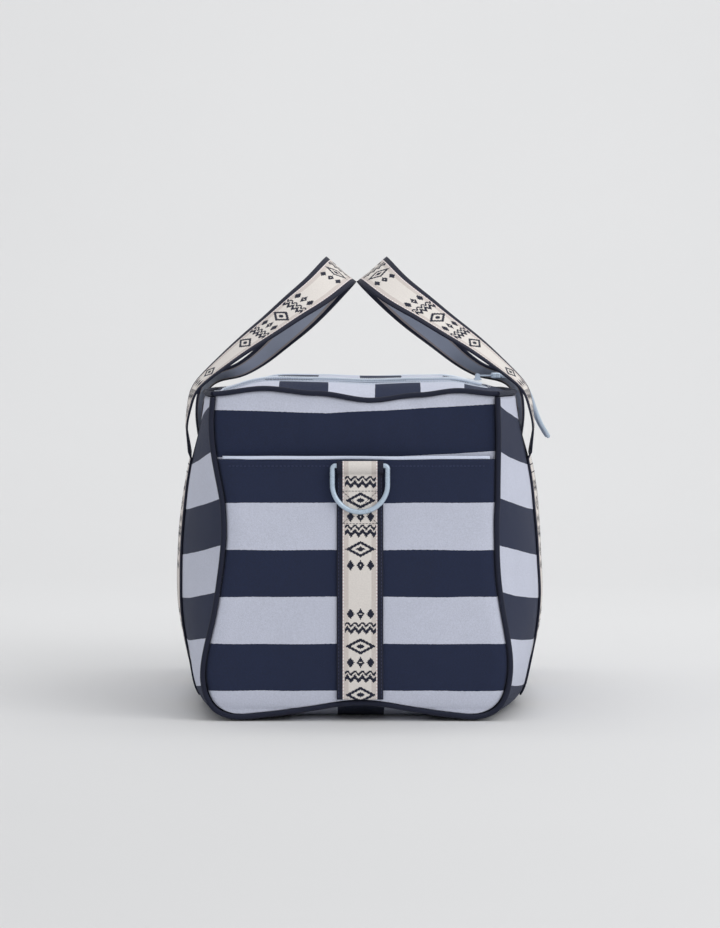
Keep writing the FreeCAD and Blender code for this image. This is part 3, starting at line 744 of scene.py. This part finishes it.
def add_ends(m):
    def panel_depth(x, z, half):
        belly = 0.0025 * window(x, half, 0.12) * math.sin(math.pi * min(1.0, max(
            0.0, (z - POCKET_TOP) / 0.055))) if z > POCKET_TOP else 0.0
        folds = 0.0016 * ripple(x, z * 0.6, 4.0, 0.045) + 0.0007 * ripple(x, z * 0.3, 5.0, 0.016)
        return belly + folds * window(x, half, 0.03) * float(smooth(z, POCKET_TOP, 0.262))

    def pocket_depth(x, z, half):
        reach = POCKET_Y - HALF
        fade = window(x, half, 0.012) * min(1.0, max(0.0, (z - 0.012) / 0.02)) ** 0.5
        clear = 1 - math.exp(-(x / 0.05) ** 2)
        soft = 0.0011 * ripple(x, z, 6.0, 0.07) + 0.0010 * math.sin(math.pi * z / POCKET_TOP)
        return reach * (0.45 + 0.55 * fade) + soft * clear * fade

    def warp(grid):
        """How far the upper panel's stripe dips below its seam, across the panel."""
        return np.interp(grid[..., 0], (-0.13, -0.03, 0.03, 0.13), (0.0033, 0.0060, 0.0030, -0.0020))

    panel = outward(end_grid(0.0032, None, -0.0012, panel_depth), (0, -1, 0))
    pocket = outward(end_grid(0.0032, POCKET_TOP, 0.0, pocket_depth), (0, -1, 0))
    lining = outward(end_grid(0.0062, None, 0.008, lambda x, z, half: -0.0026, 41, 40), (0, -1, 0))
    trim_rows = np.linspace(-1, 1, 9)
    xs = np.linspace(-0.1235, 0.1235, 121)
    trim = np.zeros((len(xs), len(trim_rows), 3))
    for i, x in enumerate(xs):
        wave = 0.0008 * ripple(x, 0.0, 11.0, 0.06)
        for j, f in enumerate(trim_rows):
            trim[i, j] = (x, -POCKET_Y - 0.0002 - 0.0006 * (1 - f * f) + 0.002 * abs(x / 0.125) ** 6,
                          POCKET_TOP + 0.0013 + 0.0016 * f + wave)
    trim = outward(trim, (0, -1, 0))
    for end, sign in (("near", 1), ("far", -1)):
        for name, grid, thickness, node, slot, materials, inner in (
                ("end_cloth_", panel, CLOTH, "end_panel_", "striped_canvas",
                 [m["upper"], m["lining"]], 1),
                ("pocket_cloth_", pocket, 0.0012, "end_pocket_", "striped_canvas",
                 [m["pocket"], m["lining"]], 1),
                ("lining_end_cloth_", lining, 0.0008, "lining_end_", "lining_cloth",
                 [m["lining"]], 0),
                ("pocket_binding_", trim, 0.0012, "pocket_trim_", "pale_blue_binding",
                 [m["binding"]], 0)):
            placed = grid if sign == 1 else mirrored(grid, 1)
            uv = stripe_uv(placed, lambda g: g[..., 2] + warp(g) * (name == "end_cloth_"),
                           lambda g: g[..., 0])
            piece = cloth_sheet(name + end, placed, thickness, uv, materials, inner)
            place(piece, "bag_body", slot, node + end)


# ---------------------------------------------------------------- the top

def zip_path(out):
    """Points along the U of the zip, moved outwards by a distance, near end first."""
    right, half, radius = ZIP_X + out, ZIP_Y + out, ZIP_CORNER + out
    left = HINGE_X + 0.0024
    legs = [(x, -half) for x in np.linspace(left, right - radius, 60)]
    arc = [(right - radius + radius * math.sin(a), -half + radius - radius * math.cos(a))
           for a in np.linspace(0, math.pi / 2, 24)[1:]]
    run = [(right, y) for y in np.linspace(-half + radius, half - radius, 80)[1:]]
    first = np.array(legs + arc + run)
    back = first[::-1][80:].copy() * (1, -1)
    return np.concatenate([first, back])


def ring_path():
    """The top seam's inner edge beside each point of zip_path."""
    corner, end = top_half(TOP_END), TOP_END
    legs = [(x, -end) for x in np.linspace(-corner, 0.096, 60)]
    arc = []
    for a in np.linspace(0, 1, 24)[1:]:
        if a < 0.5:
            arc.append((0.096 + (corner - 0.096) * a * 2, -end))
        else:
            y = -end + (a - 0.5) * 2 * (end - 0.192)
            arc.append((top_half(y), y))
    run = [(top_half(y), y) for y in np.linspace(-0.192, 0.192, 80)[1:]]
    first = np.array(legs + arc + run)
    back = first[::-1][80:].copy() * (1, -1)
    return np.concatenate([first, back])


def on_top(points, rise):
    return np.array([(x, y, top_height(x, y) + rise) for x, y in points])


def band(inner, outer, rise, columns):
    """A strip of the top between two distances from the zip's centre line."""
    a, b = zip_path(inner), zip_path(outer)
    rows = [on_top(a + (b - a) * t, rise) for t in np.linspace(0, 1, columns)]
    return outward(np.stack(rows, axis=1), (0, 0, 1))


def across_x(grid):
    return stripe_uv(grid, lambda g: g[..., 0], lambda g: g[..., 1])


def add_rim(m):
    a, b = zip_path(ZIP_EDGE), ring_path()
    rows = []
    for t in np.linspace(0, 1, 15):
        row = on_top(a + (b - a) * t, 0.0)
        row[:, 2] += [0.0005 * ripple(x, y, 8.0, 0.03) - 0.0012 * math.exp(-t * 9)
                      for x, y, _ in row]
        rows.append(row)
    grid = outward(np.stack(rows, axis=1), (0, 0, 1))
    piece = cloth_sheet("rim_cloth", grid, CLOTH * 0.8, across_x(grid), [m["rim"], m["lining"]], 1)
    place(piece, "bag_body", "striped_canvas", "top_rim_near", "top_rim_far", "top_rim_front")


def add_lid(m):
    """The lid, one cloth with the narrow strip that it is sewn to and folds along."""
    ys = np.linspace(-ZIP_Y + ZIP_EDGE, ZIP_Y - ZIP_EDGE, 111)
    radius = ZIP_CORNER - ZIP_EDGE
    right = ZIP_X - ZIP_EDGE
    half = ZIP_Y - ZIP_EDGE
    shares = np.concatenate([np.linspace(0, 0.14, 26), np.linspace(0.14, 1, 72)[1:]])
    grid = np.zeros((len(ys), len(shares), 3))
    for i, y in enumerate(ys):
        into = max(0.0, abs(y) - (half - radius))
        end = right - radius + math.sqrt(max(0.0, radius ** 2 - into ** 2))
        start = -top_half(y) + 0.0004
        for j, f in enumerate(shares):
            x = start + (end - start) * f
            z = top_height(x, y) + 0.0007 * ripple(x, y, 3.0, 0.06)
            z -= 0.0012 * math.exp(-(end - x) / 0.004)
            grid[i, j] = x, y, z
    grid = outward(grid, (0, 0, 1))
    piece = cloth_sheet("lid_cloth", grid, CLOTH * 0.8, across_x(grid), [m["lid"], m["lining"]], 1)
    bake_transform(piece)
    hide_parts("lid_panel", "top_rim_back")
    inner = grid[4:-4, 26:-2].copy()
    inner[..., 2] -= 0.0026
    lining = cloth_sheet("lid_lining_cloth", inner, 0.0008, across_x(inner), [m["lining"]])
    place(lining, "lid", "lining_cloth", "lid_lining")


def add_back_corners(m):
    """The two small corners of the top behind the ends of the zip."""
    for end, sign in (("near", -1), ("far", 1)):
        ys = np.linspace(ZIP_Y - ZIP_EDGE, TOP_END, 24)
        grid = np.zeros((len(ys), 10, 3))
        for i, y in enumerate(ys):
            t = (y - ys[0]) / (ys[-1] - ys[0])
            left = -top_half(y) + 0.0004
            right = HINGE_X + 0.0024 if y < ZIP_Y + ZIP_EDGE else \
                HINGE_X + 0.0024 - 0.0010 * (t - 0.35)
            right = max(right, left + 0.0006)
            for j, f in enumerate(np.linspace(0, 1, 10)):
                x = left + (right - left) * f
                grid[i, j] = x, sign * y, top_height(x, y)
        grid = outward(grid, (0, 0, 1))
        piece = cloth_sheet("top_corner_" + end, grid, CLOTH * 0.8, across_x(grid),
                            [m["rim"], m["lining"]], 1)
        place(piece, "bag_body", "striped_canvas")


def add_zip(m):
    for name, body, inner, outer in (("body", "bag_body", 0.0004, 0.0098),
                                     ("lid", "lid", -0.0098, -0.0004)):
        grid = band(inner, outer, -0.0012, 7)
        tape = cloth_sheet("tape_" + name, grid, 0.0008, across_x(grid), [m["tape"]])
        place(tape, body, "zip_tape", "zip_tape_" + name)
        sign = 1 if name == "body" else -1
        path = on_top(zip_path(sign * 0.0013), 0.0014)
        places, heading, _ = along_path(path, 0.0021, 0.0 if sign > 0 else 0.00105)
        up = np.tile((0.0, 0.0, 1.0), (len(places), 1))
        across = np.cross(up, heading)
        across /= np.linalg.norm(across, axis=1)[:, None]
        up = np.cross(heading, across)
        template, faces = bead(0.0040, 0.0013, 0.0031)
        teeth = scatter("teeth_" + name, template, faces, places,
                        np.stack([across, heading, up], axis=1), m["teeth"])
        place(teeth, body, "zip_teeth", "zip_teeth_" + name)
        for offset, label in ((0.0091, "a"), (0.0109, "b")):
            row = on_top(zip_path(sign * offset), 0.0003)
            sewing = stitch_row("zip_stitch_%s_%s" % (name, label), row, (0, 0, 1),
                                m["thread_pale"], 0.0022, 0.0009, 0.00045)
            place(sewing, body, "striped_canvas")
    paint("zip_stops", m["teeth"])


# ---------------------------------------------------------------- piping

def add_piping(m):
    ys = np.linspace(-TOP_PIPING_Y, TOP_PIPING_Y, 61)
    z = 0.3032
    for name, side in (("front", 1), ("back", -1)):
        points = [(side * (TOP_HALF - 0.0005 + TOP_BULGE * bulge(y)), y,
                   z + 0.0005 * ripple(y, 0.0, side * 3.0, 0.04)) for y in ys]
        piece = rope("piping_top_" + name, points, TOP_PIPING_RADIUS, m["piping"])
        place(piece, "bag_body", "navy_piping", "piping_top")
    for end, sign in (("near", -1), ("far", 1)):
        corner = TOP_HALF - 0.0005
        points = [(x, sign * TOP_PIPING_Y, seam_height(x) + 0.0032)
                  for x in np.linspace(-corner, corner, 61)]
        piece = rope("piping_top_" + end, points, TOP_PIPING_RADIUS, m["piping"])
        place(piece, "bag_body", "navy_piping")
        side = [(x, zz) for x, zz in END_HALF]
        outline = [(-x, zz) for x, zz in side[::-1]] + [tuple(p) for p in BOTTOM_SEAM[2:-2:2]] + side
        outline = np.array(outline)
        turn = np.gradient(outline, axis=0)
        turn /= np.linalg.norm(turn, axis=1)[:, None]
        inner = outline + np.stack([-turn[:, 1], turn[:, 0]], axis=1) * 0.0004
        points = [(x, sign * END_PIPING_Y, zz) for x, zz in np.vstack([inner[:-1:4], inner[-1:]])]
        piece = rope("piping_end_round_" + end, points, END_PIPING_RADIUS, m["piping"])
        place(piece, "bag_body", "navy_piping", "piping_end_" + end)


# ---------------------------------------------------------------- webbing, rings and handles

def web_uv(count_across, lengths):
    across = np.linspace(-WEB_HALF, WEB_HALF, count_across)
    return np.stack(np.broadcast_arrays(across[:, None], lengths[None, :]), axis=-1)


def add_end_webbing(m):
    """The vertical webbing on each pocket, with its top folded round the ring's bar."""
    ring_y = POCKET_Y + 0.0004 + 0.0018 + 0.00035 + 0.0023
    face_y = POCKET_Y + 0.0004 + WEB_THICK
    zs = list(np.linspace(0.0205, 0.2275, 110))
    fold = []
    radius = 0.0041
    for a in np.linspace(0, 1, 24):
        z = 0.2285 + a * 0.0130
        swell = math.sin(math.pi * min(1.0, max(0.0, (z - 0.2293) / 0.0150)))
        fold.append((z, (ring_y + radius - 0.0006 - face_y) * max(0.0, swell) ** 0.6))
    rows = [(z, 0.0) for z in zs] + fold
    lengths = np.concatenate([[0], np.cumsum(np.hypot(*np.diff(np.array(rows), axis=0).T))])
    xs = np.linspace(-WEB_HALF, WEB_HALF, 25)
    grid = np.zeros((len(xs), len(rows), 3))
    for i, x in enumerate(xs):
        for j, (z, out) in enumerate(rows):
            edge = 0.0004 * (abs(x) / WEB_HALF) ** 4
            grid[i, j] = x, -(face_y + out) + edge, z
    uv = web_uv(len(xs), lengths + 0.0035)
    for end, sign in (("near", 1), ("far", -1)):
        placed = outward(grid, (0, -1, 0)) if sign == 1 else mirrored(outward(grid, (0, -1, 0)), 1)
        piece = cloth_sheet("web_end_" + end, placed, WEB_THICK * 0.9,
                            uv if placed[0, 0, 0] < 0 else uv[::-1], [m["web"], m["web_back"]], 1)
        place(piece, "bag_body", "woven_webbing", "end_webbing_" + end)
        y = -sign * (face_y + 0.0001)
        normal = (0, -sign, 0)
        cross = WEB_HALF - 0.0052
        box = [(-cross, y, 0.1835), (cross, y, 0.1835), (cross, y, 0.2135), (-cross, y, 0.2135),
               (-cross, y, 0.1835), (cross, y, 0.2135)]
        other = [(-cross, y, 0.2135), (cross, y, 0.1835)]
        for label, path in (("box", box), ("cross", other)):
            sewing = stitch_row("web_%s_stitch_%s" % (label, end), path, normal,
                                m["thread_navy"], 0.0024, 0.0006, 0.0005)
            place(sewing, "bag_body", "woven_webbing")
        for x in (-WEB_HALF + 0.0018, WEB_HALF - 0.0018):
            path = [(x, y, 0.022), (x, y, 0.226)]
            sewing = stitch_row("web_edge_stitch_%s_%s" % (end, "l" if x < 0 else "r"), path,
                                normal, m["thread_mid"], 0.0024, 0.0010, 0.0004)
            place(sewing, "bag_body", "woven_webbing")
        pocket_y = -sign * (POCKET_Y + 0.0001)
        for z, label in ((0.2366, "pocket"),):
            for x0, x1, part in ((-0.119, -0.0245, "l"), (0.0245, 0.119, "r")):
                path = [(x, pocket_y - sign * 0.00055 * math.sin(math.pi * z / POCKET_TOP)
                         * (1 - math.exp(-(x / 0.05) ** 2)), z) for x in np.linspace(x0, x1, 40)]
                sewing = stitch_row("hem_%s_%s_%s" % (label, part, end), path, normal,
                                    m["thread_mid"], 0.0024, 0.0011, 0.00045)
                place(sewing, "bag_body", "striped_canvas")


def handle_frames(count):
    """Centre, heading and width direction along the front handle's free arch."""
    foot = (FOOT_X / MM, FOOT_Z / MM)
    rises = [cubic(np.array((foot,) + rise) * MM, np.linspace(0, 1, 2001))
             for rise in (RISE_NEAR, RISE_FAR)]

    def centre(turn):
        height = max(0.0, math.sin(turn)) ** 0.8 * 2000
        reach = math.copysign(abs(math.cos(turn)) ** 0.8, math.cos(turn))
        fine = rises[0 if turn < math.pi / 2 else 1]
        i = min(int(height), 1999)
        point = fine[i] + (fine[i + 1] - fine[i]) * (height - i)
        climb = fine[i + 1] - fine[i]
        return np.array((point[0], -STRAP_Y * reach, point[1])), climb / np.linalg.norm(climb)

    frames = []
    for share in np.linspace(0, 1, count):
        turn = math.pi * share - 0.85 * math.sin(2 * math.pi * share) / 2
        middle, climb = centre(turn)
        heading = centre(min(math.pi, turn + 0.004))[0] - centre(max(0.0, turn - 0.004))[0]
        heading /= np.linalg.norm(heading)
        out = np.array((climb[1], 0, -climb[0]))
        out -= heading * (out @ heading)
        out /= np.linalg.norm(out)
        across = np.cross(heading, out)
        twist = min(turn, math.pi - turn)
        frames.append((middle, heading, across * math.cos(twist) + out * math.sin(twist)))
    return frames


def sewn_rows(side, ys, low, high, count):
    """Rows of points down one sewn end of a handle, on the front or back wall."""
    rows = []
    for t in np.linspace(0, 1, count):
        z = low + (high - low) * t
        rows.append([wall_grid([y], [share_at(y, z)], -0.0023, side, seed=side + 2.0)[0, 0]
                     for y in ys])
    return rows


def add_handles(m):
    """Each handle is one length of webbing: sewn end, twisting free arch, sewn end."""
    across = 19
    f = np.linspace(-1, 1, across)
    for name, side in (("front", 1), ("back", -1)):
        near_ys = -STRAP_Y + f * WEB_HALF
        near = sewn_rows(side, near_ys, STRAP_LOW, STRAP_HIGH, 64)
        far = sewn_rows(side, STRAP_Y - f * WEB_HALF, STRAP_LOW, STRAP_HIGH, 64)[::-1]
        arch = []
        nudge = FRONT_TOP_SHIFT if side > 0 else BACK_TOP_SHIFT
        for middle, heading, wide in handle_frames(150)[1:-1]:
            thick = np.cross(heading, wide)
            curl = 0.0005 * (f * f)
            narrow = 1.0 - ARCH_NARROWING * float(smooth(middle[2], 0.26, 0.32))
            row = middle[None] + wide[None] * (f * narrow * WEB_HALF)[:, None] - thick[None] * (
                WEB_THICK / 2 - curl)[:, None]
            row[:, 0] += ARCH_BOW * math.sin(math.pi * float(smooth(middle[2], 0.25, 0.40)))
            row[:, 0] *= side
            row[:, 0] -= nudge * float(smooth(middle[2], 0.34, 0.42))
            arch.append(row)
        rows = np.array(near + [list(r) for r in arch] + far)
        grid = np.swapaxes(rows, 0, 1)
        middle_row = rows[:, across // 2]
        lengths = np.concatenate([[0], np.cumsum(np.linalg.norm(np.diff(middle_row, axis=0),
                                                                axis=1))])
        uv = web_uv(across, lengths)
        normal = grid_normals(grid)[across // 2, 30]
        if normal[0] * side < 0:
            grid, uv = grid[::-1], uv[::-1]
        piece = cloth_sheet("web_handle_" + name, grid, WEB_THICK, uv, [m["web"], m["web_back"]],
                            1)
        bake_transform(piece)
        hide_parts("handle_" + name, "side_strap_%s_near" % name,
                    "side_strap_%s_far" % name)
        for end, sign in (("near", -1), ("far", 1)):
            for z, label in ((0.2330, "top"), (0.2255, "low")):
                path = [wall_grid([y], [share_at(y, z)], -0.0025, side, seed=side + 2.0)[0, 0]
                        for y in sign * STRAP_Y + np.linspace(-0.0205, 0.0205, 12)]
                tack = stitch_row("bartack_%s_%s_%s" % (name, end, label), path, (side, 0, 0.1),
                                  m["thread_navy"], 0.0022, 0.0001, 0.0009)
                place(tack, "bag_body", "woven_webbing")


def add_rings(m):
    for end in ("near", "far"):
        data = paint("d_ring_" + end, m["ring"])
        data.polygons.foreach_set("use_smooth", [True] * len(data.polygons))


def add_pulls(m):
    pin_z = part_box("zip_tab_near")[1][2] - 0.0027
    for end, sign in (("near", -1), ("far", 1)):
        for node in ("zip_slider_", "zip_tab_"):
            paint(node + end, m["zip_paint"])
        y = sign * 0.014
        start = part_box("zip_tab_" + end)[1][0] + 0.00035
        out = [(start, pin_z)] + [(x * MM, z * MM) for x, z in CORD_DROP]
        first, second = (y - CORD_SPREAD, y + CORD_SPREAD)
        if sign > 0:
            first, second = second, first
        points = [(x, first, z) for x, z in out] + [(x, second, z) for x, z in out[::-1]]
        piece = rope("cord_loop_" + end, points, CORD_DIAMETER / 2, m["cord"])
        place(piece, "pull_" + end, "pull_cord", "pull_cord_" + end)


# ---------------------------------------------------------------- stage, light and camera

def add_stage():
    floor = Surface("floor_paper", roughness=0.9)
    floor.colour(floor.tint(rgb(228, 228, 228), floor.noise(0.4, 2.0) * 0.02 + 0.99))
    size, rise = 6.0, 3.5
    rows = [(-4.0, 0.0), (1.6, 0.0)]
    rows += [(1.6 + 1.4 * math.sin(a), 1.4 - 1.4 * math.cos(a))
             for a in np.linspace(0.1, math.pi / 2, 14)]
    rows.append((3.0, rise))
    grid = np.array([[(x, y, z) for y, z in rows] for x in (-size, 0.0, size)])
    uv = np.zeros(grid.shape[:2] + (2,))
    piece = finish_mesh("floor", grid.reshape(-1, 3),
                        [(i * len(rows) + j, (i + 1) * len(rows) + j,
                          (i + 1) * len(rows) + j + 1, i * len(rows) + j + 1)
                         for i in range(2) for j in range(len(rows) - 1)],
                        uv.reshape(-1, 2), [floor.material])


def area_light(name, place, target, size, power, tint=(1, 1, 1)):
    light = bpy.data.lights.new(name, "AREA")
    light.shape = "RECTANGLE"
    light.size, light.size_y = size
    light.energy = power
    light.color = tint
    lamp = bpy.data.objects.new(name, light)
    lamp.location = place
    lamp.rotation_euler = (Vector(target) - Vector(place)).to_track_quat("-Z", "Y").to_euler()
    bpy.context.scene.collection.objects.link(lamp)


def add_lights():
    world = bpy.data.worlds.new("studio")
    world.use_nodes = True
    background = world.node_tree.nodes["Background"].inputs
    background[0].default_value = (0.97, 0.98, 1.0, 1)
    background[1].default_value = 0.60
    bpy.context.scene.world = world
    area_light("key", (1.9, -1.9, 1.7), (0, -0.1, 0.15), (2.2, 2.2), 29)
    area_light("top", (0.3, 0.1, 3.0), (0, 0, 0.2), (3.2, 3.2), 21)
    area_light("backdrop", (0.0, 0.6, 2.6), (0, 3.0, 1.0), (3.0, 1.0), 20)


def add_camera():
    data = bpy.data.cameras.new("camera")
    data.lens = 126.0
    data.sensor_width = 36.0
    data.clip_end = 50.0
    camera = bpy.data.objects.new("camera", data)
    camera.location = (0.0, -3.258, 0.340)
    camera.rotation_euler = (math.radians(90.0 - 1.94), 0, 0)
    bpy.context.scene.collection.objects.link(camera)
    bpy.context.scene.camera = camera


def main():
    bpy.context.scene.view_settings.view_transform = "Standard"
    add_camera()
    m = make_materials()
    add_pulls(m)
    add_walls(m)
    add_base(m)
    add_ends(m)
    add_rim(m)
    add_lid(m)
    add_back_corners(m)
    add_zip(m)
    add_piping(m)
    add_end_webbing(m)
    add_handles(m)
    add_rings(m)
    paint("base_board", m["board"])
    add_stage()
    add_lights()


main()
